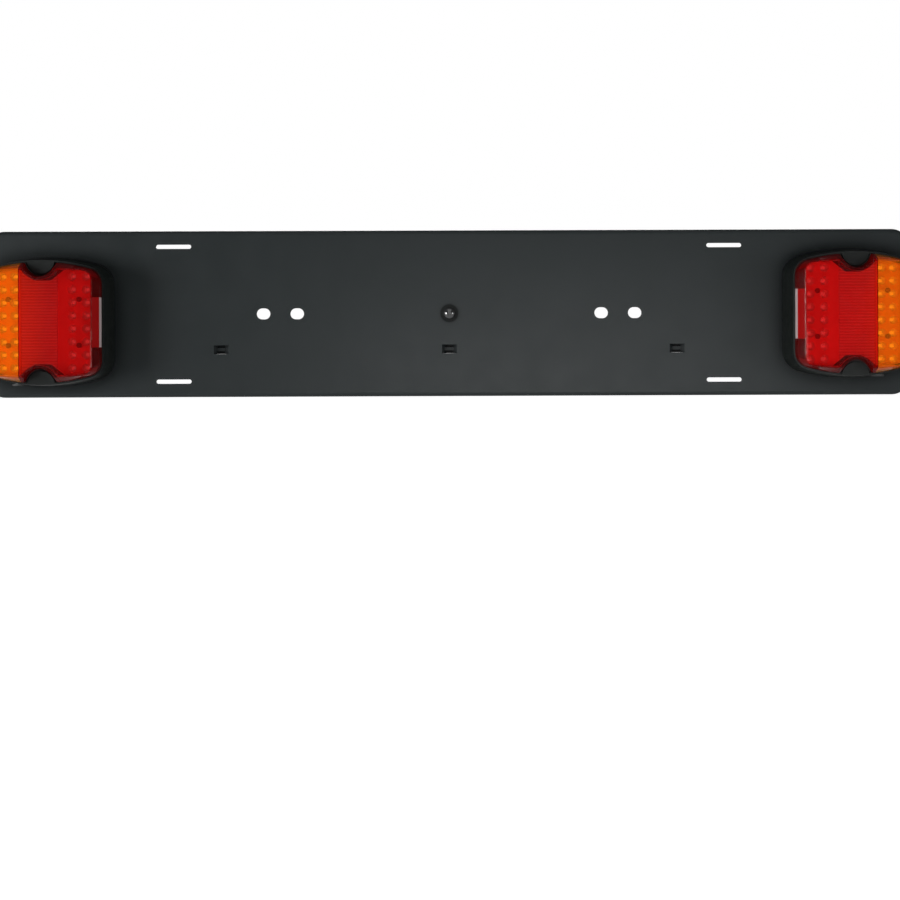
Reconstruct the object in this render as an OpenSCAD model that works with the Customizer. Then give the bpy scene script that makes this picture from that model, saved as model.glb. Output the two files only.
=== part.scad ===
// Trailer lighting board: a pressed steel board with slots for straps and
// fixings, and a battery lamp held by magnets near each end.
// X runs along the board, +Z is up and the lamps face -Y. The origin is the
// centre of the row of fixing slots, on the board's rear face.

/* [Board] */
// Length of the board
board_l = 780; // [700:10:1000]
// Height of the board
board_h = 140; // [136:1:170]
// Thickness of the steel sheet
sheet_t = 1.5; // [1:0.1:2]
// Radius of the board's corners
board_corner_r = 16; // [10:1:24]
// Depth of the folded rim, from the front face
rim_d = 13; // [9:1:20]
// Outer radius of the bend between face and rim
bend_r = 3.5; // [2.5:0.1:5]

/* [Slots] */
// Distance from the middle to the outer fixing slots
outer_fixing_x = 156.3; // [145:0.1:180]
// Distance from the middle to the inner fixing slots
inner_fixing_x = 128; // [100:0.1:135]
// Length of a fixing slot, end to end
fixing_slot_l = 11.4; // [9.6:0.1:14]
// Width of a fixing slot
fixing_slot_w = 9.2; // [6:0.1:9.4]
// Distance from the middle to the strap slots
strap_slot_x = 231.7; // [215:0.1:250]
// Height of the strap slots above and below the middle
strap_slot_z = 56.7; // [45:0.1:58]
// Length of a strap slot, end to end
strap_slot_l = 29.5; // [20:0.5:34]
// Width of a strap slot
strap_slot_w = 3.5; // [2.5:0.1:5]

/* [Cable bridges] */
// Distance between neighbouring bridges
bridge_pitch = 192; // [180:1:205]
// How far the bridges lie below the middle
bridge_drop = 30; // [20:1:40]
// Length of a bridge
bridge_l = 12.6; // [11:0.1:16]
// Width of a bridge
bridge_w = 7.4; // [5:0.1:9]
// How far a bridge is pushed back
bridge_push = 4.6; // [4:0.1:6]
// Width of the raised rib along a bridge
bridge_rib_w = 2.8; // [2:0.1:3.6]
// Height of the raised rib along a bridge
bridge_rib_h = 1.6; // [1:0.1:2]

/* [Centre screw] */
// Diameter of the screw's thread
screw_d = 5; // [4:0.5:6]
// Diameter of the screw's domed head
screw_head_d = 10; // [9:0.5:12]
// Height of the screw's head
screw_head_h = 3; // [2:0.1:3.5]
// Diameter of the washer under the head
washer_d = 14.4; // [13:0.1:18]
// Thickness of the washer
washer_t = 1; // [0.6:0.1:2]
// Width of the nut across its flats
nut_af = 8; // [7:0.5:10]
// Height of the nut
nut_h = 4; // [3:0.1:5]

/* [Lamp housing] */
// Distance from the left end of the board to the middle of the left lamp
left_lamp_from_end = 54.2; // [54:0.1:65]
// Distance from the right end of the board to the middle of the right lamp
right_lamp_from_end = 55; // [54:0.1:65]
// How far the left lamp sits below the middle
left_lamp_drop = 6.4; // [0:0.1:8]
// How far the right lamp sits below the middle
right_lamp_drop = 1.3; // [0:0.1:8]
// Width of a lamp
lamp_w = 108; // [104:1:108]
// Height of a lamp
lamp_h = 108; // [104:1:112]
// Depth of the housing up to its rim
housing_d = 30; // [29:0.5:36]
// How much each side of the housing leans in from back to front
housing_lean = 2.6; // [2:0.1:3]
// Radius of the housing's corners at the back
lamp_corner_r = 17.5; // [16:0.5:19]
// Radius of the arched top and bottom edges
crown_r = 150; // [130:5:220]
// Thickness of the housing's walls
wall_t = 2.5; // [2:0.1:3]
// Width of the rim round the lens
lip_w = 1.3; // [1:0.1:1.6]
// Depth of the well that takes the lens
well_d = 3; // [2.5:0.1:4]
// Width of the ledge under the lens
ledge_w = 2.6; // [2:0.1:3]
// Thickness of the ledge under the lens
ledge_t = 2.5; // [2:0.1:4]
// Radius of the half-round turret in each notch
turret_r = 11.4; // [10.5:0.1:12]

/* [Lens] */
// Thickness of the lens
lens_t = 2.4; // [1.8:0.1:3]
// How far the lens stands out past the housing
lens_out = 10; // [8:0.5:14]
// Width of the sloping border round the lens
border_w = 6.4; // [5:0.1:8]
// Height of the upright foot of the lens above the rim
foot_h = 1; // [0.5:0.1:2]
// Half the width of the fluted middle panel
panel_half_w = 16; // [12:0.5:18]
// Width of the plain strip between the fluted panel and the amber part
strip_w = 2.4; // [1:0.1:4]
// Pitch of the flutes
flute_pitch = 2.4; // [2:0.1:4]
// Depth of the flutes
flute_d = 0.5; // [0.2:0.05:0.7]
// How far the fluted panel is sunk
panel_sink = 0.6; // [0.3:0.1:0.8]
// Gap between a turret and the foot of the lens's notch round it
notch_gap = 1.6; // [0.6:0.1:2]
// How much a notch widens from its foot to the front
notch_draft = 1.2; // [0.8:0.1:2]
// Height of the clear window that lights the number plate
window_h = 41; // [30:1:46]
// How far the clear window reaches in from the foot of the lens
window_w = 2.8; // [2.6:0.1:5]

/* [Optics] */
// Distance from the lamp's inner edge to the near red column
red_near = 18; // [17.5:0.1:18.5]
// Distance from the lamp's inner edge to the far red column
red_far = 29.5; // [29:0.1:30.5]
// Distance from the lamp's outer edge to the near amber column
amber_near = 21.2; // [20.5:0.1:22]
// Distance from the lamp's outer edge to the far amber column
amber_far = 30.8; // [30.5:0.1:31.5]
// Distance from the lamp's top and bottom edges to the first row of lights
row_margin = 16.2; // [15.5:0.1:17]
// Thickness of the circuit board
pcb_t = 1.6; // [1:0.1:2]
// Depth of the reflector tray
tray_d = 6; // [5:0.1:7]
// Depth of the tray's notches, from the lamp's edge to their floors
tray_notch_depth = 19.4; // [18.5:0.1:21]
// Half the width of the floor of a notch in the tray
tray_notch_half_w = 7; // [5:0.5:9]
// Slope of the sides of a notch in the tray, in degrees
tray_notch_slope = 39; // [35:1:45]
// Radius of the corners of a notch in the tray
tray_notch_r = 4; // [2:0.5:5]
// Radius of a reflector cup at its mouth
cup_r = 3.6; // [3.2:0.1:4.2]
// Radius of a reflector cup at its floor
cup_floor_r = 2.4; // [2.2:0.1:2.8]
// Radius of a light's dome
led_r = 1.5; // [1:0.1:1.7]
// Height of a tray screw above and below the lamp's middle
tray_screw_v = 19; // [18:0.1:20.5]

/* [Lamp back] */
// Thickness of the rubber pad
pad_t = 1.5; // [1:0.1:2]
// Thickness of the rear cover
cover_t = 2.5; // [2:0.1:3]
// Diameter of a magnet
magnet_d = 24; // [18:1:24]
// Thickness of a magnet
magnet_t = 5; // [3:0.5:5.5]
// Distance of the magnets' middles from the lamp's edges
magnet_margin = 28; // [27.5:0.5:29]
// Length of the battery
battery_l = 52; // [40:1:53]
// Width of the battery
battery_w = 30; // [24:1:31]
// Thickness of the battery
battery_t = 8.5; // [6:0.1:9]
// Gap between the receiver board and the posts of the tray
receiver_gap = 4.5; // [1:0.5:8]
// Width of the receiver board
receiver_w = 15; // [10:0.5:16]

/* [Charging socket] */
// Distance of the socket from the lamp's middle, outwards
socket_u = 22; // [20:0.5:24]
// Radius of the socket's nose
socket_r = 4; // [3.5:0.1:4.2]
// Radius of the hole in the socket
jack_r = 2.75; // [2:0.05:3]
// Radius of the rubber bung's cap
bung_r = 6; // [5.5:0.1:6.2]

/* [Hidden] */

// Colours
steel_black = [0.22, 0.235, 0.235];
shell_black = [0.11, 0.13, 0.125];
lens_red_colour = [0.78, 0.06, 0.07];
amber_colour = [0.88, 0.4, 0.02];
clear_colour = [0.86, 0.87, 0.88];
tray_colour = [0.9, 0.9, 0.88];
green_board = [0.05, 0.3, 0.16];
metal = [0.72, 0.72, 0.72];
black_rubber = [0.06, 0.06, 0.06];
cell_blue = [0.15, 0.25, 0.5];

// Fit between pieces that seat in each other
fit = 0.3;
// Overrun of every cut
over = 1;
// Thickness of the slices that a sloping form is stretched between
slice = 0.02;
// Number of steps along a rounded corner, and along an arched edge
corner_steps = 8;
crown_steps = 12;
// Faces of a round bore or boss
round_faces = 48;

// Places of the lamps, and of what lies in a lamp, from its middle
left_lamp_x = board_l / 2 - left_lamp_from_end;
right_lamp_x = board_l / 2 - right_lamp_from_end;
turret_v = lamp_h / 2 - wall_t;
notch_r = turret_r + notch_gap;
rows = 8;
row_pitch = (lamp_h - 2 * row_margin) / (rows - 1);
red_columns = [red_far - lamp_w / 2, red_near - lamp_w / 2];
amber_columns = [lamp_w / 2 - amber_far, lamp_w / 2 - amber_near];
magnet_u = lamp_w / 2 - magnet_margin;
magnet_v = lamp_h / 2 - magnet_margin;

// Depths in a lamp, from the board's front face
pad_top = pad_t;
cover_top = pad_top + cover_t;
magnet_top = pad_top + magnet_t;
cup_top = magnet_top + cover_t - wall_t / 2;
battery_base = cup_top + fit;
pcb_base = battery_base + battery_t + fit;
pcb_top = pcb_base + pcb_t;
tray_top = pcb_top + tray_d;
ledge_top = housing_d - well_d;
seal_t = 1;
lens_base = ledge_top + seal_t;
bevel_base = housing_d + foot_h;
lens_top = housing_d + lens_out;
housing_base = pad_t / 3;

// Plan of a lamp's inner pieces
lens_inset = housing_lean + lip_w + fit;
pad_inset = wall_t + fit;
pcb_inset = lens_inset + ledge_w + fit;
tray_margin = 0.5;
tray_rim = 0.9;
tray_inset = pcb_inset + tray_margin;
tray_inner_edge = -red_columns[1] + cup_r + tray_rim;
socket_depth = (cup_top + pcb_base) / 2;

// Screws in a lamp
tray_screw_u = [red_columns[0] + red_columns[1], amber_columns[0] + amber_columns[1]] / 2;
tray_screw_r = 1.2;
tray_screw_head_r = 2.1;
tray_screw_head_h = 1.4;
tray_post_r = 3;
receiver_l = 2 * (tray_screw_u[1] - tray_post_r - receiver_gap);
cover_screw_out = 4.5;
cover_screw_up = 0.5;
cover_screw_u = lamp_w / 2 - lamp_corner_r + cover_screw_out;
cover_screw_v = lamp_h / 2 - lamp_corner_r + cover_screw_up;
cover_screw_r = 1.5;
cover_head_r = 2.8;
cover_head_h = 1.3;
post_r = 4;
post_hole_depth = 9;
screw_tip_gap = 1;

// Seats of the charging socket and of its bung, from the lamp's middle
socket_seat = lamp_h / 2 - wall_t * 2.6;
spotface = lamp_h / 2 - wall_t * 1.2;
socket_boss_r = bung_r + wall_t * 0.4;

// Sizes of the lights
led_l = 3.2;
led_w = 2.8;
led_base_h = 0.8;
plate_led_l = 3.5;
plate_led_pitch = 12;
plate_led_inset = 3;

// Points along an arc about a centre, between two angles
function arc(centre, r, from, to, steps) = [
    for (i = [0:steps]) let (a = from + (to - from) * i / steps) centre + r * [cos(a), sin(a)]
];

// Outline with upright sides, arched ends and rounded corners
function barrel(half_w, half_h, crown, corner) = let (
    crown_y = half_h - crown,
    corner_x = half_w - corner,
    corner_y = crown_y + sqrt(pow(crown - corner, 2) - pow(corner_x, 2)),
    turn = atan2(corner_y - crown_y, corner_x),
    upper = concat(
        arc([corner_x, corner_y], corner, 0, turn, corner_steps),
        arc([0, crown_y], crown, turn, 180 - turn, crown_steps),
        arc([-corner_x, corner_y], corner, 180 - turn, 180, corner_steps)
    )
) concat(upper, -upper);

// How far the housing's sides have leant in at a depth
function lean_at(depth) = housing_lean * (depth - housing_base) / (housing_d - housing_base);

// Outline of a notch from its mouth past the lamp's edge down to its floor
function notch(floor_v, floor_half_w, mouth_v, corner, slope) = let (
    mouth_half_w = floor_half_w + (mouth_v - floor_v) / tan(slope),
    c_x = floor_half_w - corner * tan(slope / 2),
    c_y = floor_v + corner
) concat(
    [[-mouth_half_w, mouth_v]],
    arc([-c_x, c_y], corner, 270 - slope, 270, corner_steps / 2),
    arc([c_x, c_y], corner, 270, 270 + slope, corner_steps / 2),
    [[mouth_half_w, mouth_v]]
);

// Lamp outline, moved inwards by an inset
module lamp_plan(inset) {
    polygon(barrel(lamp_w / 2 - inset, lamp_h / 2 - inset, crown_r - inset, lamp_corner_r - inset));
}

module both_ends() {
    children();
    mirror([0, 1, 0]) children();
}

// Round turrets that fill the notches of the lens
module turrets(r) {
    both_ends() translate([0, turret_v]) circle(r = r, $fn = round_faces);
}

// Footprint of the lens at its foot, moved inwards by an inset
module lens_plan(inset) {
    difference() {
        lamp_plan(lens_inset + inset);
        turrets(notch_r + inset);
    }
}

// Slab of a plan between two depths
module slab(from, to) {
    translate([0, 0, from]) linear_extrude(to - from) children();
}

// Stretch of the leaning housing between two depths, moved inwards by an inset
module housing_form(inset, from, to) {
    hull() {
        slab(from, from + slice) lamp_plan(inset + lean_at(from));
        slab(to - slice, to) lamp_plan(inset + lean_at(to));
    }
}

// Board coordinates: X along the board, Y up it, Z towards the viewer
module on_board() {
    rotate([90, 0, 0]) children();
}

// Lamp coordinates: X outwards, Y up, Z from the board's front face
module on_lamp(side) {
    on_board() {
        if (side == "left") {
            mirror([1, 0, 0]) translate([left_lamp_x, -left_lamp_drop, sheet_t]) children();
        } else {
            translate([right_lamp_x, -right_lamp_drop, sheet_t]) children();
        }
    }
}

// Slot with round ends, centred
module slot_plan(l, w) {
    square([l - w, w], center = true);
    for (x = [-1, 1]) {
        translate([x * (l - w) / 2, 0]) circle(d = w, $fn = round_faces);
    }
}

// Section of the rim, from the corner's centre outwards
module rim_section() {
    bend_x = board_corner_r - bend_r;
    bend_y = sheet_t - bend_r;
    square([bend_x, sheet_t]);
    intersection() {
        translate([bend_x, bend_y]) square([bend_r, bend_r]);
        translate([bend_x, bend_y]) difference() {
            circle(r = bend_r, $fn = round_faces);
            circle(r = bend_r - sheet_t, $fn = round_faces);
        }
    }
    translate([board_corner_r - sheet_t, sheet_t - rim_d]) square([sheet_t, rim_d - bend_r]);
}

// Pressed tray with a rounded rim all the way round
module pressed_tray() {
    half_l = board_l / 2 - board_corner_r;
    half_h = board_h / 2 - board_corner_r;
    translate([-half_l, -half_h, 0]) cube([2 * half_l, 2 * half_h, sheet_t]);
    for (x = [-1, 1], y = [-1, 1]) {
        translate([x * half_l, y * half_h, 0])
            rotate([0, 0, x > 0 ? (y > 0 ? 0 : 270) : (y > 0 ? 90 : 180)])
                rotate_extrude(angle = 90, $fn = round_faces) rim_section();
    }
    for (end = [0, 180]) {
        rotate([0, 0, end]) translate([half_l, half_h, 0])
            rotate([90, 0, 0]) linear_extrude(2 * half_h) rim_section();
        rotate([0, 0, end + 90]) translate([half_h, half_l, 0])
            rotate([90, 0, 0]) linear_extrude(2 * half_l) rim_section();
    }
}

// Strip of sheet pushed back between two ramps
module bridge_strip(push, w) {
    ramp = push - sheet_t / 2;
    half_l = bridge_l / 2;
    flat_x = half_l - ramp;
    translate([0, w / 2, 0]) rotate([90, 0, 0]) linear_extrude(w) polygon([
        [-half_l, sheet_t], [-flat_x, sheet_t - push], [flat_x, sheet_t - push], [half_l, sheet_t],
        [half_l, 0], [flat_x, -push], [-flat_x, -push], [-half_l, 0]
    ]);
}

module mounting_board() {
    color(steel_black) on_board() {
        difference() {
            pressed_tray();
            translate([0, 0, -over]) linear_extrude(sheet_t + 2 * over) {
                for (x = [outer_fixing_x, inner_fixing_x], end = [-1, 1]) {
                    translate([end * x, 0]) slot_plan(fixing_slot_l, fixing_slot_w);
                }
                for (x = [-1, 1], y = [-1, 1]) {
                    translate([x * strap_slot_x, y * strap_slot_z]) slot_plan(strap_slot_l, strap_slot_w);
                }
                for (i = [-1:1]) {
                    translate([i * bridge_pitch, -bridge_drop]) square([bridge_l, bridge_w], center = true);
                }
                circle(d = screw_d + fit, $fn = round_faces);
            }
        }
        for (i = [-1:1]) {
            translate([i * bridge_pitch, -bridge_drop, 0]) {
                bridge_strip(bridge_push, bridge_w);
                bridge_strip(bridge_push - bridge_rib_h, bridge_rib_w);
            }
        }
    }
}

// Domed head, shank and driver socket
module centre_screw() {
    head_r = screw_head_d / 2;
    dome_r = (pow(head_r, 2) + pow(screw_head_h, 2)) / (2 * screw_head_h);
    color(shell_black) on_board() translate([0, 0, sheet_t + washer_t]) {
        difference() {
            intersection() {
                translate([0, 0, screw_head_h - dome_r]) sphere(r = dome_r, $fn = round_faces);
                cylinder(r = head_r, h = screw_head_h, $fn = round_faces);
            }
            translate([0, 0, screw_head_h / 2]) cylinder(d = screw_d * 0.7, h = screw_head_h, $fn = 6);
        }
        translate([0, 0, -washer_t - sheet_t - nut_h - over])
            cylinder(d = screw_d, h = washer_t + sheet_t + nut_h + over, $fn = round_faces);
    }
}

module centre_washer() {
    color(black_rubber) on_board() translate([0, 0, sheet_t]) difference() {
        cylinder(d = washer_d, h = washer_t, $fn = round_faces);
        translate([0, 0, -over]) cylinder(d = screw_d + fit, h = washer_t + 2 * over, $fn = round_faces);
    }
}

module centre_nut() {
    color(metal) on_board() translate([0, 0, -nut_h]) difference() {
        cylinder(d = nut_af / cos(30), h = nut_h, $fn = 6);
        translate([0, 0, -over]) cylinder(d = screw_d + fit / 2, h = nut_h + 2 * over, $fn = round_faces);
    }
}

// Places of the four magnets and of the four cover screws
module at_magnets() {
    for (u = [-1, 1], v = [-1, 1]) {
        translate([u * magnet_u, v * magnet_v, 0]) children();
    }
}

module at_cover_screws() {
    for (u = [-1, 1], v = [-1, 1]) {
        translate([u * cover_screw_u, v * cover_screw_v, 0]) children();
    }
}

module at_tray_screws() {
    for (u = tray_screw_u, v = [-1, 1]) {
        translate([u, v * tray_screw_v, 0]) children();
    }
}

// Places of the rows of lights in a pair of columns
module at_lights(columns) {
    for (u = columns, i = [0:rows - 1]) {
        translate([u, (i - (rows - 1) / 2) * row_pitch, 0]) children();
    }
}

// Axis of the charging socket, pointing out of the lamp's lower edge
module at_socket() {
    translate([socket_u, 0, socket_depth]) rotate([90, 0, 0]) children();
}

// Webs that tie the screw posts to the housing's corners
module corner_webs() {
    for (u = [-1, 1], v = [-1, 1]) {
        translate([u * cover_screw_u, v * cover_screw_v]) rotate(atan2(v, u))
            translate([0, -wall_t / 2]) square([lamp_corner_r, wall_t]);
    }
}

module housing(side) {
    color(shell_black) on_lamp(side) difference() {
        union() {
            difference() {
                housing_form(0, housing_base, housing_d);
                slab(ledge_top, housing_d + over) difference() {
                    lamp_plan(lens_inset - fit);
                    turrets(turret_r);
                }
                slab(ledge_top - ledge_t - over, ledge_top + over) lens_plan(ledge_w);
                slab(housing_base - over, cover_top) lamp_plan(wall_t);
                difference() {
                    housing_form(wall_t, cover_top - slice, ledge_top - ledge_t);
                    slab(cover_top - over, ledge_top) difference() {
                        turrets(turret_r);
                        turrets(turret_r - wall_t);
                    }
                }
            }
            at_cover_screws() translate([0, 0, cover_top])
                cylinder(r = post_r, h = pcb_base - cover_top, $fn = round_faces);
            intersection() {
                housing_form(wall_t / 2, cover_top, pcb_base - pcb_t);
                slab(cover_top, pcb_base - pcb_t) corner_webs();
            }
            intersection() {
                at_socket() translate([0, 0, socket_seat])
                    cylinder(r = socket_boss_r, h = 2 * wall_t, $fn = round_faces);
                housing_form(0, housing_base, housing_d);
            }
        }
        at_cover_screws() translate([0, 0, cover_top - over])
            cylinder(r = cover_screw_r, h = post_hole_depth + over, $fn = round_faces);
        at_socket() cylinder(r = socket_r + fit / 2, h = lamp_h, $fn = round_faces);
        at_socket() translate([0, 0, spotface]) cylinder(r = bung_r + fit, h = lamp_h, $fn = round_faces);
    }
}

// Outside of the lens, or its hollow when it is moved inwards
module lens_form(inset, top, bottom) {
    difference() {
        union() {
            slab(bottom, bevel_base) lamp_plan(lens_inset + inset);
            hull() {
                slab(bevel_base - slice, bevel_base) lamp_plan(lens_inset + inset);
                slab(top - slice, top) lamp_plan(lens_inset + border_w + inset / 2);
            }
        }
        both_ends() translate([0, turret_v, lens_base - 2 * over]) cylinder(
            r1 = notch_r + inset, r2 = notch_r + notch_draft + inset,
            h = lens_top - lens_base + 3 * over, $fn = round_faces
        );
    }
}

// Wavy cutter that leaves the flutes on the sunken middle panel
module flute_cutter() {
    half_h = lamp_h / 2;
    count = floor(2 * half_h / flute_pitch);
    floor_z = lens_top - panel_sink;
    wave = [
        for (i = [0:2 * count])
            [-half_h + i * flute_pitch / 2, floor_z - (i % 2) * flute_d]
    ];
    rotate([90, 0, 90]) translate([0, 0, -panel_half_w]) linear_extrude(2 * panel_half_w - strip_w)
        polygon(concat(wave, [[half_h, lens_top + over], [-half_h, lens_top + over]]));
}

// Lens as one moulding, before it is parted into its colours
module lens_shell() {
    difference() {
        lens_form(0, lens_top, lens_base);
        lens_form(lens_t, lens_top - lens_t, lens_base - over);
        flute_cutter();
    }
}

// Space taken by the clear window in the lens's inner side
module window_space() {
    window_edge = lamp_w / 2 - lens_inset - window_w;
    translate([-lamp_w, -window_h / 2, lens_base - over])
        cube([lamp_w - window_edge, window_h, lens_top]);
}

// Space of the amber part, outwards of the middle panel
module amber_space() {
    translate([panel_half_w, -lamp_h, lens_base - over]) cube([lamp_w, 2 * lamp_h, lens_top]);
}

module lens_red(side) {
    color(lens_red_colour) on_lamp(side) difference() {
        lens_shell();
        amber_space();
        window_space();
    }
}

module lens_amber(side) {
    color(amber_colour) on_lamp(side) intersection() {
        lens_shell();
        amber_space();
    }
}

module plate_window(side) {
    color(clear_colour) on_lamp(side) intersection() {
        lens_shell();
        window_space();
    }
}

module lens_seal(side) {
    color(black_rubber) on_lamp(side) slab(ledge_top, lens_base) difference() {
        lens_plan(0);
        lens_plan(lens_t);
    }
}

// Plan of the tray, grown or shrunk by a margin and clear of the turrets
module inner_plan(margin) {
    difference() {
        lamp_plan(tray_inset - margin);
        both_ends() polygon(notch(
            lamp_h / 2 - tray_notch_depth + margin,
            tray_notch_half_w - margin * tan(tray_notch_slope / 2),
            lamp_h / 2 + over,
            tray_notch_r,
            tray_notch_slope
        ));
    }
}

module reflector_tray(side) {
    color(tray_colour) on_lamp(side) difference() {
        slab(pcb_top, tray_top) intersection() {
            inner_plan(0);
            translate([-tray_inner_edge, -lamp_h]) square([lamp_w, 2 * lamp_h]);
        }
        for (columns = [red_columns, amber_columns]) {
            at_lights(columns) translate([-(led_l + fit) / 2, -(led_w + fit) / 2, pcb_top - over])
                cube([led_l + fit, led_w + fit, tray_d]);
            at_lights(columns) translate([0, 0, pcb_top + led_base_h])
                cylinder(r1 = cup_floor_r, r2 = cup_r, h = tray_d - led_base_h + slice, $fn = round_faces);
        }
        at_tray_screws() translate([0, 0, pcb_top - over])
            cylinder(r = tray_screw_r + fit, h = tray_d + 2 * over, $fn = round_faces);
    }
}

module circuit_board(side) {
    color(green_board) on_lamp(side) difference() {
        slab(pcb_base, pcb_top) inner_plan(tray_margin);
        at_tray_screws() translate([0, 0, pcb_base - over])
            cylinder(r = tray_screw_r + fit, h = pcb_t + 2 * over, $fn = round_faces);
    }
}

// Surface lights with domed fronts
module lights(columns) {
    at_lights(columns) translate([0, 0, pcb_top]) {
        translate([-led_l / 2, -led_w / 2, 0]) cube([led_l, led_w, led_base_h]);
        translate([0, 0, led_base_h]) intersection() {
            sphere(r = led_r, $fn = round_faces);
            cylinder(r = led_r, h = led_r, $fn = round_faces);
        }
    }
}

module red_lights(side) {
    color(lens_red_colour) on_lamp(side) lights(red_columns);
}

module amber_lights(side) {
    color(amber_colour) on_lamp(side) lights(amber_columns);
}

module plate_lights(side) {
    edge = lamp_w / 2 - pcb_inset - plate_led_inset;
    color(clear_colour) on_lamp(side) for (i = [-1:1]) {
        translate([-edge, i * plate_led_pitch - plate_led_l / 2, pcb_top])
            cube([led_w, plate_led_l, led_l]);
    }
}

module tray_screws(side) {
    color(metal) on_lamp(side) at_tray_screws() {
        translate([0, 0, tray_top]) cylinder(r = tray_screw_head_r, h = tray_screw_head_h, $fn = round_faces);
        translate([0, 0, pcb_base - pcb_t])
            cylinder(r = tray_screw_r, h = tray_top - pcb_base + pcb_t, $fn = round_faces);
    }
}

module battery(side) {
    color(cell_blue) on_lamp(side) slab(battery_base, battery_base + battery_t) {
        square([battery_l, battery_w], center = true);
    }
}

// Radio and charging circuit, lying on the magnet cups
module receiver(side) {
    chip_l = receiver_l / 5;
    chip_h = pcb_t;
    color(green_board) on_lamp(side) translate([0, battery_w / 2 + fit, battery_base]) {
        translate([-receiver_l / 2, 0, 0]) cube([receiver_l, receiver_w, pcb_t]);
        for (i = [-1:1]) {
            translate([i * receiver_l / 4 - chip_l / 2, receiver_w / 4, pcb_t])
                cube([chip_l, receiver_w / 2, chip_h]);
        }
    }
}

// Cover plate with magnet cups and the posts that carry the circuit board
module rear_cover(side) {
    cup_wall_r = magnet_d / 2 + fit + wall_t * 0.8;
    color(shell_black) on_lamp(side) difference() {
        union() {
            slab(pad_top, cover_top) lamp_plan(pad_inset);
            at_magnets() translate([0, 0, cover_top - slice])
                cylinder(r = cup_wall_r, h = cup_top - cover_top + slice, $fn = round_faces);
            at_tray_screws() translate([0, 0, cover_top])
                cylinder(r = tray_post_r, h = pcb_base - cover_top, $fn = round_faces);
        }
        at_magnets() translate([0, 0, pad_top - over])
            cylinder(r = magnet_d / 2 + fit, h = magnet_t + fit + over, $fn = round_faces);
        at_cover_screws() translate([0, 0, pad_top - over]) {
            cylinder(r = cover_screw_r + fit, h = cover_t + 2 * over, $fn = round_faces);
            cylinder(r = cover_head_r + fit, h = cover_head_h + over, $fn = round_faces);
        }
        at_tray_screws() translate([0, 0, pcb_base - 2 * pcb_t])
            cylinder(r = tray_screw_r, h = 3 * pcb_t, $fn = round_faces);
    }
}

module cover_screws(side) {
    color(metal) on_lamp(side) at_cover_screws() translate([0, 0, pad_top]) {
        cylinder(r = cover_head_r, h = cover_head_h, $fn = round_faces);
        cylinder(r = cover_screw_r, h = cover_t + post_hole_depth - screw_tip_gap, $fn = round_faces);
    }
}

module magnets(side) {
    color(metal) on_lamp(side) at_magnets() translate([0, 0, pad_top])
        cylinder(d = magnet_d, h = magnet_t, $fn = round_faces);
}

module rubber_pad(side) {
    color(black_rubber) on_lamp(side) difference() {
        slab(0, pad_top) lamp_plan(pad_inset);
        at_cover_screws() translate([0, 0, -over])
            cylinder(r = cover_head_r + fit, h = pad_t + 2 * over, $fn = round_faces);
    }
}

// Jack with its nose in the wall and its body behind it
module charge_socket(side) {
    body = 2 * socket_r + fit;
    color(shell_black) on_lamp(side) at_socket() difference() {
        union() {
            cylinder(r = socket_r, h = spotface, $fn = round_faces);
            translate([-body / 2, -body / 2, socket_seat - body]) cube([body, body, body]);
        }
        translate([0, 0, socket_seat - body + wall_t]) cylinder(r = jack_r, h = lamp_h, $fn = round_faces);
        translate([0, 0, -over]) cylinder(r = body, h = socket_seat - body + over, $fn = round_faces);
    }
}

module charge_bung(side) {
    color(black_rubber) on_lamp(side) at_socket() translate([0, 0, spotface]) {
        cylinder(r = bung_r, h = wall_t * 0.6, $fn = round_faces);
        translate([0, 0, -2 * jack_r]) cylinder(r = jack_r, h = 2 * jack_r, $fn = round_faces);
    }
}

mounting_board();
centre_screw();
centre_washer();
centre_nut();
housing("left");  // left_housing
lens_red("left");  // left_lens_red
lens_amber("left");  // left_lens_amber
plate_window("left");  // left_plate_window
lens_seal("left");  // left_lens_seal
reflector_tray("left");  // left_reflector_tray
circuit_board("left");  // left_circuit_board
red_lights("left");  // left_red_lights
amber_lights("left");  // left_amber_lights
plate_lights("left");  // left_plate_lights
tray_screws("left");  // left_tray_screws
battery("left");  // left_battery
receiver("left");  // left_receiver
rear_cover("left");  // left_rear_cover
cover_screws("left");  // left_cover_screws
magnets("left");  // left_magnets
rubber_pad("left");  // left_rubber_pad
charge_socket("left");  // left_charge_socket
charge_bung("left");  // left_charge_bung
housing("right");  // right_housing
lens_red("right");  // right_lens_red
lens_amber("right");  // right_lens_amber
plate_window("right");  // right_plate_window
lens_seal("right");  // right_lens_seal
reflector_tray("right");  // right_reflector_tray
circuit_board("right");  // right_circuit_board
red_lights("right");  // right_red_lights
amber_lights("right");  // right_amber_lights
plate_lights("right");  // right_plate_lights
tray_screws("right");  // right_tray_screws
battery("right");  // right_battery
receiver("right");  // right_receiver
rear_cover("right");  // right_rear_cover
cover_screws("right");  // right_cover_screws
magnets("right");  // right_magnets
rubber_pad("right");  // right_rubber_pad
charge_socket("right");  // right_charge_socket
charge_bung("right");  // right_charge_bung
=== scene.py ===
"""Looks of the trailer lighting board: finishes, lens mouldings, studio and camera.

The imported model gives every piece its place. Lengths are in metres. A lamp has
its own coordinates: u outwards, v up and d forwards from the board's front face.
"""

import math

import bmesh
import bpy
from mathutils import Matrix, Vector


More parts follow.
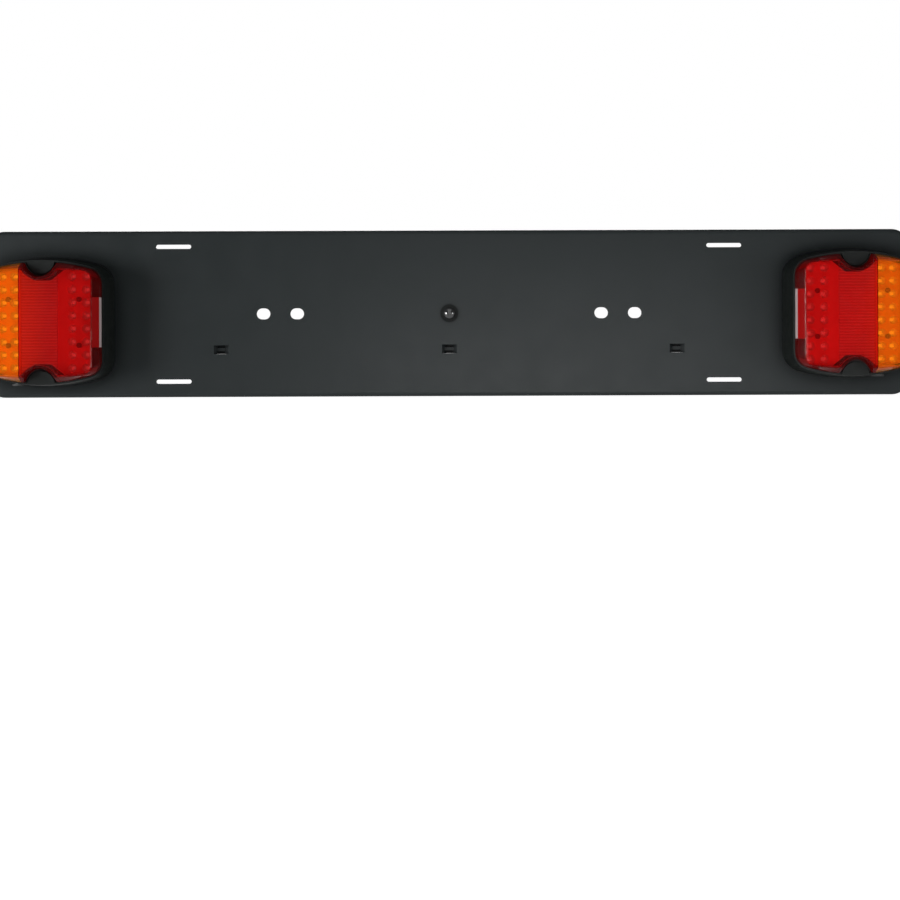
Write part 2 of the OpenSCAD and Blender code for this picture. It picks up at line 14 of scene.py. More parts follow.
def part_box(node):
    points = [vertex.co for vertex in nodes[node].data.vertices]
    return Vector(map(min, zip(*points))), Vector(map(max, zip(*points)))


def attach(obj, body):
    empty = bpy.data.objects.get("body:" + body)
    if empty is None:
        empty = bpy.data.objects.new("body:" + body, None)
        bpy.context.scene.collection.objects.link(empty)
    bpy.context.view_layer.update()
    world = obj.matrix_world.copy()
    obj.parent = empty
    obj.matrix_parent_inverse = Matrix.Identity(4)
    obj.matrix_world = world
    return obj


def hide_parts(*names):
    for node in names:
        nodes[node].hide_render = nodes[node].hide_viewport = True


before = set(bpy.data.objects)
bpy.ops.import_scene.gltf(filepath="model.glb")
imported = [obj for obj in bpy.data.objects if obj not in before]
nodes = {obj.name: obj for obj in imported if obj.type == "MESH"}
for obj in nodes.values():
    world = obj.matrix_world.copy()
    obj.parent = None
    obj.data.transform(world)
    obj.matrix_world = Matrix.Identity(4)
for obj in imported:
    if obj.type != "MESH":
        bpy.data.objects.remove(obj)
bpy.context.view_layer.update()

MM = 0.001
SIDES = {"left": -1, "right": 1}

# Camera, fitted to the slots, the bridges and the edges in the photograph
CAMERA_AT = Vector((-0.006, -1.333, 0.0007))
CAMERA_YAW = math.radians(0.44)
CAMERA_ROLL = math.radians(-0.205)
CAMERA_LENS_MM = 63.24
CAMERA_SENSOR_MM = 36
CAMERA_SHIFT = (-0.0048, -0.1529)

# Studio. The floor is lifted to white by a glow that grows from near to far.
FLOOR_Z = -0.36
FLOOR_SIDE = 24
FLOOR_LIFT = (0.5, 0.9)
FLOOR_LIFT_REACH = (1.2, 2)
# The world's level, at the camera's side and behind the board, and the
# directions' y between which it changes
WORLD_LEVEL = (0.11, 1.0)
WORLD_TURN = (0.75, 0.95)
# Each lamp's place, aim, width, height and radiance
SOFTBOXES = {
    "overhead": ((0.05, -1.0, 1.3), (0, 0, 0), 1.8, 1.2, 0.9),
    "low_front": ((0.13, -0.6, -0.1), (0.08, 0, 0), 0.55, 0.16, 5.4),
    "left_front": ((-1.6, -1.0, -0.02), (0, 0, 0), 0.6, 0.6, 29),
    "right_front": ((1.6, -1.0, -0.02), (0, 0, 0), 0.6, 0.6, 9),
    "rear": ((0, 1.7, 0.6), (0, 0, 0), 1.6, 0.8, 7),
}

# Lens, as in the part's own values
LENS_T = 2.4 * MM
BORDER_W = 6.4 * MM
FOOT_H = 1 * MM
CROWN_R = 150 * MM
LAMP_CORNER_R = 17.5 * MM
LENS_INSET = 4.2 * MM
WALL_T = 2.5 * MM
NOTCH_R = 13 * MM
NOTCH_DRAFT = 1.2 * MM
OVER = 1 * MM
PANEL_HALF_W = 16 * MM
STRIP_W = 2.4 * MM
FLUTE_PITCH = 2.4 * MM
FLUTE_D = 0.5 * MM
PANEL_SINK = 0.6 * MM
WINDOW_H = 41 * MM

# Lens, fitted to the photograph
WINDOW_W = 1.3 * MM
KNEE_R = 3 * MM
FRONT_R = 3 * MM
TIP_R = 1.4 * MM
FACE_CROWN_R = 600 * MM
FACE_CORNER_R = 8.5 * MM
FACE_RISE = 1.2 * MM
HOLLOW_EDGE = 0.4 * MM
SHARP_ANGLE = math.radians(32)

# Steps along the lens's curves
CORNER_STEPS = 12
CROWN_STEPS = 6
TIP_STEPS = 4
NOTCH_STEPS = 14
EDGE_STEPS = 6
FLUTE_STEPS = 8

# Painted shade in a finish's hollows and next to other parts: how open they are where
# the painted darkening ends and starts, and what is left of the colour and of the shine at the
# darkest
PAINTED_SHADE_OPENNESS = (0.3, 0.95)
PAINTED_SHADE_COLOUR = 1 / 8
PAINTED_SHADE_SHEEN = 0.1

# Plastic of the lens, with painted shade on its slopes. SLOPE_NORMAL is how much of the
# normal points forwards on a full slope and on the flat.
SLOPE_NORMAL = (0.66, 0.82)
WINDOW_BORDER_U = (-60 * MM, -42 * MM)
WINDOW_SLOPE_SHADE_SHARE = 0.45
WINDOW_FROST = 0.8
FROST_COLOUR = 1 / 2
# painted light and shade of the flutes: how much darker the panel is, and where its lighter
# lines fall
PAINTED_PANEL_SHADE = 0.92
PAINTED_FLUTE_LINES = (-0.1, 0.5)
PATCH_SIZE = 9 * MM
RIPPLE_SIZE = 7 * MM
RIPPLE_D = 0.05 * MM
EDGE_ON_GLOSS = 0.8

HOUSING_EDGE = 0.5 * MM


# Node helpers

def new_material(name):
    """Material with an empty tree, the tree, and its output node"""
    material = bpy.data.materials.new(name)
    material.use_nodes = True
    tree = material.node_tree
    tree.nodes.clear()
    return material, tree, add(tree, "ShaderNodeOutputMaterial")


def add(tree, kind, **values):
    """Node of a kind, with inputs and settings given by name"""
    node = tree.nodes.new(kind)
    for name, value in values.items():
        if hasattr(node, name):
            setattr(node, name, value)
        else:
            node.inputs[name.replace("_", " ").title()].default_value = value
    return node


def place(tree):
    """The point on the surface, in the object's own metres"""
    return add(tree, "ShaderNodeTexCoord").outputs["Object"]


def axes(tree, vector):
    """The three parts of a vector"""
    node = add(tree, "ShaderNodeSeparateXYZ")
    tree.links.new(vector, node.inputs["Vector"])
    return node.outputs


def noise(tree, size, detail=3, roughness=0.5):
    """Noise whose lumps have about a given size"""
    node = add(tree, "ShaderNodeTexNoise", scale=1 / size, detail=detail, roughness=roughness)
    tree.links.new(place(tree), node.inputs["Vector"])
    return node.outputs["Fac"]


def spread(tree, value, low, high, from_low=0.3, from_high=0.7):
    """Value mapped on to a range and kept within it"""
    node = add(
        tree, "ShaderNodeMapRange",
        from_min=from_low, from_max=from_high, to_min=low, to_max=high,
    )
    tree.links.new(value, node.inputs["Value"])
    return node.outputs["Result"]


def arithmetic(tree, operation, *values):
    """Result of a sum on sockets and numbers"""
    node = add(tree, "ShaderNodeMath", operation=operation)
    for socket, value in zip(node.inputs, values):
        if isinstance(value, (int, float)):
            socket.default_value = value
        else:
            tree.links.new(value, socket)
    return node.outputs["Value"]


def between(tree, value, low, high):
    """1 where a value lies between two others, and 0 elsewhere"""
    above = arithmetic(tree, "GREATER_THAN", value, low)
    below = arithmetic(tree, "LESS_THAN", value, high)
    return arithmetic(tree, "MULTIPLY", above, below)


def mix_colours(tree, share, first, second):
    """Colour between two, each a colour or a socket"""
    node = add(tree, "ShaderNodeMix", data_type="RGBA")
    tree.links.new(share, node.inputs["Factor"])
    # sockets 6 and 7 take colours, and output 2 gives one
    for socket, colour in ((node.inputs[6], first), (node.inputs[7], second)):
        if isinstance(colour, tuple):
            socket.default_value = (*colour, 1)
        else:
            tree.links.new(colour, socket)
    return node.outputs[2]


def mix_shaders(tree, share, first, second):
    """Shader between two"""
    node = add(tree, "ShaderNodeMixShader")
    for value, socket in zip((share, first, second), node.inputs):
        tree.links.new(value, socket)
    return node.outputs["Shader"]


def bump(tree, heights):
    """Normal from several heights, each a value, its depth in metres and its strength"""
    normal = None
    for value, depth, strength in heights:
        node = add(tree, "ShaderNodeBump", strength=strength, distance=depth)
        tree.links.new(value, node.inputs["Height"])
        if normal is not None:
            tree.links.new(normal, node.inputs["Normal"])
        normal = node.outputs["Normal"]
    return normal


# Finishes

def surface(name, first, second, patch, rough, grain, depth, shade_reach=0, **sockets):
    """Principled finish whose colour, roughness and grain all vary.

    first and second are its colours and patch the size of their patches; rough is
    the range of its roughness; grain and depth are the size of its fine texture.
    Where a reach is given, hollows and spots near other parts get painted shade: darker and
    less shiny.
    """
    material, tree, output = new_material(name)
    shader = add(tree, "ShaderNodeBsdfPrincipled")
    for label, value in sockets.items():
        shader.inputs[label.replace("_", " ")].default_value = value
    colour = mix_colours(tree, spread(tree, noise(tree, patch, 4), 0, 1), first, second)
    # painted shade: an occlusion test darkens the colour and dims the reflection in hollows
    # and near other parts
    if shade_reach:
        hollow = add(tree, "ShaderNodeAmbientOcclusion", samples=8, distance=shade_reach)
        openness = spread(tree, hollow.outputs["AO"], 0, 1, *PAINTED_SHADE_OPENNESS)
        painted_shade = tuple(value * PAINTED_SHADE_COLOUR for value in first)
        colour = mix_colours(tree, openness, painted_shade, colour)
        reflection_shade = mix_colours(tree, openness, (PAINTED_SHADE_SHEEN,) * 3, (1, 1, 1))
        tree.links.new(reflection_shade, shader.inputs["Specular Tint"])
    roughness = spread(tree, noise(tree, patch / 3, 5), *rough)
    fine = noise(tree, grain, 2)
    coarse = noise(tree, grain * 6, 2)
    normal = bump(tree, [(coarse, depth * 2, 0.3), (fine, depth, 0.6)])
    tree.links.new(colour, shader.inputs["Base Color"])
    tree.links.new(roughness, shader.inputs["Roughness"])
    tree.links.new(normal, shader.inputs["Normal"])
    tree.links.new(shader.outputs["BSDF"], output.inputs["Surface"])
    return material


def lens_tint(tree, u, v, slope, beside_window, face_tint, painted_slope_tint):
    """What the lens lets through, with painted shade on its slopes and painted light and shade
    on the fluted panel
    """
    # painted light and shade of the flutes: patchy lines along them keep the face's full tint,
    # and the rest of the panel is painted darker
    on_panel = between(tree, u, -PANEL_HALF_W, PANEL_HALF_W - STRIP_W)
    wave = arithmetic(tree, "SINE", arithmetic(tree, "MULTIPLY", v, 2 * math.pi / FLUTE_PITCH))
    patchy = arithmetic(tree, "MULTIPLY", wave, noise(tree, PATCH_SIZE, 3))
    painted_flute_shade = arithmetic(tree, "MULTIPLY", on_panel, spread(tree, patchy, 1, 0, *PAINTED_FLUTE_LINES))
    painted_panel_tint = tuple(value * PAINTED_PANEL_SHADE for value in face_tint)
    tint = mix_colours(tree, painted_flute_shade, face_tint, painted_panel_tint)
    # the painted shade on the slope beside the window is only a little darker
    most = spread(tree, beside_window, 1, WINDOW_SLOPE_SHADE_SHARE, 0, 1)
    return mix_colours(tree, arithmetic(tree, "MULTIPLY", slope, most), tint, painted_slope_tint)


def lens_gloss(tree, body):
    """Glossy plastic of a colour, with a slight ripple"""
    shader = add(tree, "ShaderNodeBsdfPrincipled", roughness=0.06)
    shader.inputs["Base Color"].default_value = (*body, 1)
    shader.inputs["Coat Weight"].default_value = 1
    shader.inputs["Coat Roughness"].default_value = 0.04
    shader.inputs["Coat IOR"].default_value = 1.6
    ripple = bump(tree, [(noise(tree, RIPPLE_SIZE, 2), RIPPLE_D, 0.3)])
    tree.links.new(ripple, shader.inputs["Normal"])
    return shader.outputs["BSDF"]


def lens_finish(name, face_tint, painted_slope_tint, body, gloss_share):
    """Clear tinted plastic, painted darker where it slopes and frosted beside the window.

    The tints are what one surface lets through, on the face and on the border, where the
    darker tint is painted shade; body is the colour that the plastic itself shows, and
    gloss_share how much of it shows from straight ahead.
    """
    material, tree, output = new_material(name)
    lamp_place = add(tree, "ShaderNodeAttribute", attribute_name="lamp_place")
    u, v, _ = axes(tree, lamp_place.outputs["Vector"])
    normal = axes(tree, add(tree, "ShaderNodeNewGeometry").outputs["True Normal"])
    forwards = arithmetic(tree, "ABSOLUTE", normal["Y"])
    # painted shade: the tint is darker where the surface turns away from straight ahead
    slope = spread(tree, forwards, 1, 0, *SLOPE_NORMAL)
    beside_window = arithmetic(
        tree, "MULTIPLY",
        between(tree, v, -WINDOW_H / 2, WINDOW_H / 2),
        between(tree, u, *WINDOW_BORDER_U),
    )
    clear = add(tree, "ShaderNodeBsdfTransparent")
    tint = lens_tint(tree, u, v, slope, beside_window, face_tint, painted_slope_tint)
    tree.links.new(tint, clear.inputs["Color"])
    edge_on = add(tree, "ShaderNodeLayerWeight", blend=0.3)
    glossy = spread(tree, edge_on.outputs["Fresnel"], gloss_share, EDGE_ON_GLOSS, 0, 1)
    plastic = mix_shaders(tree, glossy, clear.outputs["BSDF"], lens_gloss(tree, body))
    dull = add(tree, "ShaderNodeBsdfDiffuse")
    dull.inputs["Color"].default_value = (*(value * FROST_COLOUR for value in body), 1)
    frost = arithmetic(
        tree, "MULTIPLY", arithmetic(tree, "MULTIPLY", beside_window, slope), WINDOW_FROST,
    )
    frosted = mix_shaders(tree, frost, plastic, dull.outputs["BSDF"])
    tree.links.new(frosted, output.inputs["Surface"])
    return material


def light(name, first, second, painted_glow):
    """Small dome over a pale chip, with a faint painted glow in place of glints, as the light
    is off
    """
    return surface(
        name, first, second, 2 * MM, (0.1, 0.2), 0.5 * MM, 0.005 * MM,
        Emission_Color=(*first, 1), Emission_Strength=painted_glow,
    )


FINISHES = {
    # painted shade in the bridges' recesses and on the board beside the lamps
    "board_steel": surface(
        "board_steel", (0.0066, 0.0096, 0.0101), (0.008, 0.011, 0.0117), 60 * MM,
        (0.4, 0.46), 0.9 * MM, 0.02 * MM, shade_reach=18 * MM, Specular_IOR_Level=0.26,
    ),
    "screw_black": surface(
        "screw_black", (0.01, 0.011, 0.011), (0.016, 0.017, 0.017), 3 * MM,
        (0.1, 0.16), 0.5 * MM, 0.004 * MM, Specular_IOR_Level=1.0,
    ),
    "washer_black": surface(
        "washer_black", (0.003, 0.0035, 0.0035), (0.005, 0.0055, 0.0055), 3 * MM,
        (0.5, 0.6), 0.5 * MM, 0.01 * MM, Specular_IOR_Level=0.1,
    ),
    "shell_plastic": surface(
        "shell_plastic", (0.003, 0.0042, 0.0038), (0.0042, 0.0056, 0.005), 25 * MM,
        (0.34, 0.44), 0.45 * MM, 0.02 * MM, Specular_IOR_Level=0.22,
    ),
    # each lens's second tint is the painted shade of its slopes
    "lens_red": lens_finish(
        "lens_red", (0.96, 0.275, 0.275), (0.42, 0.06, 0.075), (0.5, 0.01, 0.01), 0.05,
    ),
    "lens_amber": lens_finish(
        "lens_amber", (1.0, 0.58, 0.12), (0.78, 0.36, 0.08), (0.95, 0.28, 0.008), 0.1,
    ),
    "lens_clear": lens_finish(
        "lens_clear", (0.97, 0.97, 0.98), (0.9, 0.9, 0.92), (0.55, 0.44, 0.44), 0.3,
    ),
    "tray_white": surface(
        "tray_white", (0.84, 0.84, 0.82), (0.9, 0.9, 0.88), 12 * MM,
        (0.3, 0.42), 1.2 * MM, 0.02 * MM,
    ),
    "tray_screw": surface(
        "tray_screw", (0.16, 0.16, 0.15), (0.22, 0.22, 0.21), 2 * MM,
        (0.3, 0.4), 0.4 * MM, 0.01 * MM,
    ),
    "board_green": surface(
        "board_green", (0.01, 0.08, 0.035), (0.015, 0.11, 0.05), 8 * MM,
        (0.3, 0.4), 0.8 * MM, 0.01 * MM,
    ),
    # the lights are unlit; their glow is painted light for the hot-spots seen through the lens
    "light_red": light("light_red", (0.85, 0.8, 0.78), (0.9, 0.85, 0.83), 0.22),
    "light_amber": light("light_amber", (0.88, 0.85, 0.72), (0.93, 0.9, 0.78), 0.5),
    "light_white": light("light_white", (0.9, 0.87, 0.7), (0.95, 0.92, 0.75), 0.05),
    "zinc_steel": surface(
        "zinc_steel", (0.5, 0.5, 0.48), (0.62, 0.62, 0.6), 3 * MM,
        (0.3, 0.45), 0.3 * MM, 0.01 * MM, Metallic=1.0,
    ),
    "magnet_plate": surface(
        "magnet_plate", (0.55, 0.54, 0.52), (0.66, 0.65, 0.63), 5 * MM,
        (0.22, 0.34), 0.3 * MM, 0.005 * MM, Metallic=1.0,
    ),
    "battery_wrap": surface(
        "battery_wrap", (0.02, 0.05, 0.16), (0.03, 0.07, 0.2), 15 * MM,
        (0.3, 0.42), 1.5 * MM, 0.02 * MM,
    ),
    "socket_plastic": surface(
        "socket_plastic", (0.01, 0.01, 0.01), (0.016, 0.016, 0.016), 4 * MM,
        (0.3, 0.4), 0.4 * MM, 0.01 * MM,
    ),
    "black_rubber": surface(
        "black_rubber", (0.011, 0.011, 0.011), (0.018, 0.018, 0.018), 10 * MM,
        (0.62, 0.8), 0.6 * MM, 0.03 * MM,
    ),
}

BOARD_FINISHES = {
    "mounting_board": "board_steel",
    "centre_screw": "screw_black",
    "centre_washer": "washer_black",
    "centre_nut": "zinc_steel",
}
LAMP_FINISHES = {
    "housing": "shell_plastic",
    "lens_seal": "black_rubber",
    "reflector_tray": "tray_white",
    "circuit_board": "board_green",
    "red_lights": "light_red",
    "amber_lights": "light_amber",
    "plate_lights": "light_white",
    "tray_screws": "tray_screw",
    "battery": "battery_wrap",
    "receiver": "board_green",
    "rear_cover": "shell_plastic",
    "cover_screws": "zinc_steel",
    "magnets": "magnet_plate",
    "rubber_pad": "black_rubber",
    "charge_socket": "socket_plastic",
    "charge_bung": "black_rubber",
}
LENS_FINISHES = {
    "lens_red": "lens_red",
    "lens_amber": "lens_amber",
    "plate_window": "lens_clear",
}


def dress(obj, slot):
    """Gives an object the one finish of a slot"""
    obj.data.materials.clear()
    obj.data.materials.append(FINISHES[slot])


def soften(obj, width):
    """Rounds a piece's sharp edges"""
    weld = obj.modifiers.new("weld", "WELD")
    weld.merge_threshold = 0.001 * MM
    bevel = obj.modifiers.new("edges", "BEVEL")
    bevel.width = width
    bevel.segments = 2
    bevel.limit_method = "ANGLE"
    bevel.angle_limit = math.radians(40)
    bevel.harden_normals = True


for node_name, slot_name in BOARD_FINISHES.items():
    dress(nodes[node_name], slot_name)
for side_name in SIDES:
    for part_name, slot_name in LAMP_FINISHES.items():
        dress(nodes[f"{side_name}_{part_name}"], slot_name)
    soften(nodes[f"{side_name}_housing"], HOUSING_EDGE)


# Lens mouldings

housing_low, housing_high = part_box("right_housing")
lens_low, lens_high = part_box("right_lens_red")
BOARD_FACE_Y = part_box("right_rubber_pad")[1].y
HALF_W = (housing_high.x - housing_low.x) / 2
HALF_H = (housing_high.z - housing_low.z) / 2
LENS_BASE = BOARD_FACE_Y - lens_high.y
LENS_TOP = BOARD_FACE_Y - lens_low.y
RIM_TOP = BOARD_FACE_Y - housing_low.y
TURRET_V = HALF_H - WALL_T


def arc(centre, radius, start, end, steps):
    """Points along an arc, from one angle to another"""
    points = []
    for i in range(steps + 1):
        angle = start + (end - start) * i / steps
        points.append((
            centre[0] + radius * math.cos(angle),
            centre[1] + radius * math.sin(angle),
        ))
    return points


def rounded_tip(before, tip, after, reach, steps):
    """Curve that cuts a corner between two straight runs"""
    before, tip, after = Vector(before), Vector(tip), Vector(after)
    start = tip + (before - tip).normalized() * reach
    end = tip + (after - tip).normalized() * reach
    points = []
    for i in range(steps + 1):
        t = i / steps
        points.append(tuple(start * (1 - t) ** 2 + tip * 2 * t * (1 - t) + end * t ** 2))
    return points


def lens_quarter(inset, notch_r):
    """Upper outer quarter of the outline, from the side to the notch's middle"""
    # the outline is squarer at the front face than at the foot
    way = min(inset / BORDER_W, 1)
    half_w = HALF_W - LENS_INSET - inset
    half_h = HALF_H - LENS_INSET - inset + FACE_RISE * way
    crown = 1 / ((1 - way) / (CROWN_R - LENS_INSET) + way / FACE_CROWN_R)
    foot_corner = LAMP_CORNER_R - LENS_INSET
    corner = foot_corner + (FACE_CORNER_R - foot_corner) * way - max(inset - BORDER_W, 0)
    crown_v = half_h - crown
    corner_u = half_w - corner
    corner_v = crown_v + math.sqrt((crown - corner) ** 2 - corner_u ** 2)
    turn = math.atan2(corner_v - crown_v, corner_u)
    # the notch is round, so its mouth is where two circles cross
    apart = TURRET_V - crown_v
    mouth_rise = (crown ** 2 - notch_r ** 2 - apart ** 2) / (2 * apart)
    mouth = (math.sqrt(notch_r ** 2 - mouth_rise ** 2), TURRET_V + mouth_rise)
    crown_end = math.atan2(mouth[1] - crown_v, mouth[0]) - TIP_R / crown
    notch_start = math.atan2(mouth_rise, mouth[0]) - TIP_R / notch_r
    crown_points = arc((0, crown_v), crown, turn, crown_end, CROWN_STEPS)
    notch_points = arc((0, TURRET_V), notch_r, notch_start, -math.pi / 2, NOTCH_STEPS)
    tip = rounded_tip(crown_points[-1], mouth, notch_points[0], TIP_R, TIP_STEPS)
    return (
        [(half_w, 0)]
        + arc((corner_u, corner_v), corner, 0, turn, CORNER_STEPS)
        + crown_points[1:-1]
        + tip
        + notch_points[1:]
    )


def lens_ring(inset, notch_r):
    """Whole outline, anticlockwise from the outer side"""
    quarter = lens_quarter(inset, notch_r)
    back = quarter[::-1]
    ring = list(quarter)
    ring += [(-u, v) for u, v in back[1:]]
    ring += [(-u, -v) for u, v in quarter[1:]]
    ring += [(u, -v) for u, v in back[1:-1]]
    return ring


def notch_radius_at(depth):
    """Radius of a notch at a depth"""
    start = LENS_BASE - 2 * OVER
    end = LENS_TOP + OVER
    return NOTCH_R + NOTCH_DRAFT * (depth - start) / (end - start)


def outer_profile():
    """Depth, inset and notch margin of each ring, from the foot to the front"""
    knee = RIM_TOP + FOOT_H
    slope = math.atan2(BORDER_W, LENS_TOP - knee)
    knee_reach = KNEE_R * math.tan(slope / 2)
    knee_start = knee - knee_reach
    front_reach = FRONT_R * math.tan((math.pi / 2 - slope) / 2)
    edge = front_reach * math.cos(slope)
    rings = [(LENS_BASE, 0, 0)]
    for i in range(EDGE_STEPS + 1):
        depth = knee_start + KNEE_R * math.sin(slope * i / EDGE_STEPS)
        rings.append((depth, KNEE_R * (1 - math.cos(slope * i / EDGE_STEPS)), 0))
    for i in range(EDGE_STEPS + 1):
        angle = math.pi / 2 * i / EDGE_STEPS
        depth = LENS_TOP - edge * (1 - math.sin(angle))
        run = math.sqrt(FRONT_R ** 2 - (depth - LENS_TOP + FRONT_R) ** 2)
        margin = edge * (1 - math.cos(angle))
        rings.append((depth, BORDER_W + front_reach - run, margin))
    return rings


def inner_profile():
    """The same for the hollow, from the front back to the foot"""
    top = LENS_TOP - LENS_T
    knee = RIM_TOP + FOOT_H
    inset = BORDER_W + LENS_T / 2
    return [
        (top, inset + HOLLOW_EDGE, LENS_T + HOLLOW_EDGE),
        (top - HOLLOW_EDGE, inset - HOLLOW_EDGE / 2, LENS_T),
        (knee, LENS_T, LENS_T),
        (LENS_BASE, LENS_T, LENS_T),
    ]


def lens_shell():
    """Closed moulding, in a lamp's coordinates"""
    shell = bmesh.new()
    rings = []
    for depth, inset, margin in outer_profile() + inner_profile():
        ring = lens_ring(inset, notch_radius_at(depth) + margin)
        rings.append([shell.verts.new((u, v, depth)) for u, v in ring])
    front = len(outer_profile()) - 1
    count = len(rings[0])
    for number in range(len(rings)):
        lower, upper = rings[number], rings[(number + 1) % len(rings)]
        if number == front:
            shell.faces.new(lower)
            shell.faces.new(upper[::-1])
            continue
        for i in range(count):
            j = (i + 1) % count
            shell.faces.new((lower[i], lower[j], upper[j], upper[i]))
    bmesh.ops.recalc_face_normals(shell, faces=shell.faces)
    return mesh_object("lens_shell", shell)


def mesh_object(name, shape):
    """Object from a bmesh, which is freed"""
    mesh = bpy.data.meshes.new(name)
    shape.to_mesh(mesh)
    shape.free()
    obj = bpy.data.objects.new(name, mesh)
    bpy.context.scene.collection.objects.link(obj)
    return obj


def box_object(name, low, high):
    """Block between two corners"""
    shape = bmesh.new()
    bmesh.ops.create_cube(shape, size=1)
    low, high = Vector(low), Vector(high)
    for vert in shape.verts:
        for axis in range(3):
            vert.co[axis] = low[axis] if vert.co[axis] < 0 else high[axis]
    return mesh_object(name, shape)


def flute_cutter():
    """Block whose lower side leaves rounded flutes on the sunken panel"""
    shape = bmesh.new()
    floor = LENS_TOP - PANEL_SINK
    count = math.floor(2 * HALF_H / FLUTE_PITCH) * FLUTE_STEPS
    section = [(HALF_H, LENS_TOP + OVER), (-HALF_H, LENS_TOP + OVER)]
    for i in range(count + 1):
        along = i / FLUTE_STEPS
        depth = floor - FLUTE_D * (1 - math.cos(2 * math.pi * along)) / 2
        section.append((-HALF_H + along * FLUTE_PITCH, depth))
    ends = []
    for u in (-PANEL_HALF_W, PANEL_HALF_W - STRIP_W):
        ends.append([shape.verts.new((u, v, d)) for v, d in section])
    shape.faces.new(ends[0])
    shape.faces.new(ends[1][::-1])
    for i in range(len(section)):
        j = (i + 1) % len(section)
        shape.faces.new((ends[0][i], ends[0][j], ends[1][j], ends[1][i]))
    bmesh.ops.recalc_face_normals(shape, faces=shape.faces)
    return mesh_object("flute_cutter", shape)


def cut(obj, other, operation):
    """Mesh of an object after an exact boolean with another"""
    modifier = obj.modifiers.new("cut", "BOOLEAN")
    modifier.operation = operation
    modifier.solver = "EXACT"
    modifier.object = other
    bpy.context.view_layer.update()
    graph = bpy.context.evaluated_depsgraph_get()
    mesh = bpy.data.meshes.new_from_object(obj.evaluated_get(graph))
    obj.modifiers.remove(modifier)
    return mesh


def finish_lens(mesh, name, side, slot):
    """Sets a lens part in its lamp and dresses it"""
    sign = SIDES[side]
    low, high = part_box(f"{side}_housing")
    centre = (low + high) / 2
    mesh = mesh.copy()
    # the finish reads the lamp's own coordinates
    places = mesh.attributes.new("lamp_place", "FLOAT_VECTOR", "POINT")
    values = [value for vertex in mesh.vertices for value in vertex.co]
    places.data.foreach_set("vector", values)
    mesh.transform(Matrix((
        (sign, 0, 0, centre.x),
        (0, 0, -1, BOARD_FACE_Y),
        (0, 1, 0, centre.z),
        (0, 0, 0, 1),
    )))
    if sign < 0:
        mesh.flip_normals()
    obj = bpy.data.objects.new(f"{side}_{name}_moulding", mesh)
    bpy.context.scene.collection.objects.link(obj)
    dress(obj, slot)
    for polygon in mesh.polygons:
        polygon.use_smooth = True
    mesh.set_sharp_from_angle(angle=SHARP_ANGLE)
    weighted = obj.modifiers.new("normals", "WEIGHTED_NORMAL")
    weighted.keep_sharp = True
    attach(obj, "root")
    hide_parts(f"{side}_{name}")


def build_lenses():
    """Red, amber and clear parts of both lenses, parted from one moulding"""
    shell = lens_shell()
    cutter = flute_cutter()
    shell.data = cut(shell, cutter, "DIFFERENCE")
    far = 2 * HALF_W
    low = LENS_BASE - OVER
    high = LENS_TOP + OVER
    edge = HALF_W - LENS_INSET - WINDOW_W
    half_h = WINDOW_H / 2
    amber = box_object("amber_space", (PANEL_HALF_W, -far, low), (far, far, high))
    window = box_object("window_space", (-far, -half_h, low), (-edge, half_h, high))
    parts = {
        "lens_amber": cut(shell, amber, "INTERSECT"),
        "plate_window": cut(shell, window, "INTERSECT"),
    }
    shell.data = cut(shell, amber, "DIFFERENCE")
    parts["lens_red"] = cut(shell, window, "DIFFERENCE")
    for side in SIDES:
        for name, slot in LENS_FINISHES.items():
            finish_lens(parts[name], name, side, slot)
    for scrap in (shell, cutter, amber, window):
        bpy.data.objects.remove(scrap)


build_lenses()


# Studio

def studio_floor():
    """Pale floor that renders white where no shadow falls"""
    shape = bmesh.new()
    bmesh.ops.create_grid(shape, x_segments=1, y_segments=1, size=FLOOR_SIDE / 2)
    bmesh.ops.translate(shape, verts=shape.verts, vec=(0, 0, FLOOR_Z))
    floor = mesh_object("floor", shape)
    material, tree, output = new_material("floor")
    paint = add(tree, "ShaderNodeBsdfPrincipled", roughness=0.9)
    paint.inputs["Base Color"].default_value = (0.82, 0.82, 0.82, 1)
    paint.inputs["Specular IOR Level"].default_value = 0
    # only the camera sees the glow, which makes up for the lamps' fall-off
    distance = add(tree, "ShaderNodeVectorMath", operation="LENGTH")
    tree.links.new(place(tree), distance.inputs[0])
    level = spread(tree, distance.outputs["Value"], *FLOOR_LIFT, *FLOOR_LIFT_REACH)
    rays = add(tree, "ShaderNodeLightPath")
    lift = add(tree, "ShaderNodeEmission")
    strength = arithmetic(tree, "MULTIPLY", rays.outputs["Is Camera Ray"], level)
    tree.links.new(strength, lift.inputs["Strength"])
    both = add(tree, "ShaderNodeAddShader")
    tree.links.new(paint.outputs["BSDF"], both.inputs[0])
    tree.links.new(lift.outputs["Emission"], both.inputs[1])
    tree.links.new(both.outputs["Shader"], output.inputs["Surface"])
    floor.data.materials.append(material)


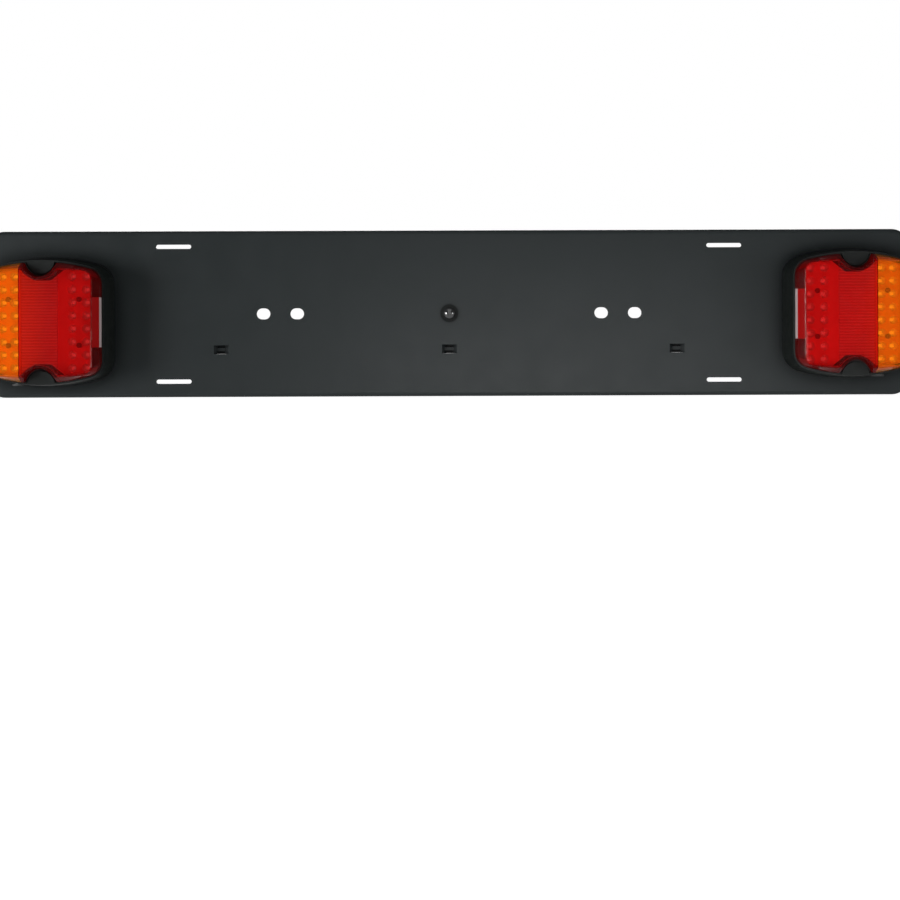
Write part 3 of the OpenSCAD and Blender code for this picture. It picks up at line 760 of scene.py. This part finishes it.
def studio_world():
    """White all round for the camera, and dim on the camera's side for the rest"""
    world = bpy.data.worlds.new("studio")
    bpy.context.scene.world = world
    world.use_nodes = True
    tree = world.node_tree
    tree.nodes.clear()
    output = add(tree, "ShaderNodeOutputWorld")
    back = add(tree, "ShaderNodeBackground")
    back.inputs["Color"].default_value = (1, 1, 1, 1)
    direction = axes(tree, add(tree, "ShaderNodeTexCoord").outputs["Generated"])
    level = spread(tree, direction["Y"], *WORLD_LEVEL, *WORLD_TURN)
    rays = add(tree, "ShaderNodeLightPath")
    most = arithmetic(tree, "MAXIMUM", rays.outputs["Is Camera Ray"], level)
    tree.links.new(most, back.inputs["Strength"])
    tree.links.new(back.outputs["Background"], output.inputs["Surface"])


def softbox(name, at, aim, width, height, radiance):
    """Soft lamp of a given brightness, unseen by the camera"""
    data = bpy.data.lights.new(name, "AREA")
    data.shape = "RECTANGLE"
    data.size = width
    data.size_y = height
    data.energy = radiance * math.pi * width * height
    obj = bpy.data.objects.new(name, data)
    bpy.context.scene.collection.objects.link(obj)
    at, aim = Vector(at), Vector(aim)
    turn = (aim - at).to_track_quat("-Z", "Y").to_matrix().to_4x4()
    obj.matrix_world = Matrix.Translation(at) @ turn
    obj.visible_camera = False


def studio_camera():
    """Camera of the photograph"""
    data = bpy.data.cameras.new("camera")
    data.sensor_width = CAMERA_SENSOR_MM
    data.lens = CAMERA_LENS_MM
    data.shift_x, data.shift_y = CAMERA_SHIFT
    camera = bpy.data.objects.new("camera", data)
    bpy.context.scene.collection.objects.link(camera)
    right = Vector((math.cos(CAMERA_YAW), -math.sin(CAMERA_YAW), 0))
    forward = Vector((math.sin(CAMERA_YAW), math.cos(CAMERA_YAW), 0))
    up = Vector((0, 0, 1))
    across = math.cos(CAMERA_ROLL) * right + math.sin(CAMERA_ROLL) * up
    upward = math.cos(CAMERA_ROLL) * up - math.sin(CAMERA_ROLL) * right
    turn = Matrix((across, upward, -forward)).transposed().to_4x4()
    camera.matrix_world = Matrix.Translation(CAMERA_AT) @ turn
    bpy.context.scene.camera = camera


studio_floor()
studio_world()
for lamp_name, lamp_values in SOFTBOXES.items():
    softbox(lamp_name, *lamp_values)
studio_camera()

settings = bpy.context.scene.view_settings
settings.view_transform = "Standard"
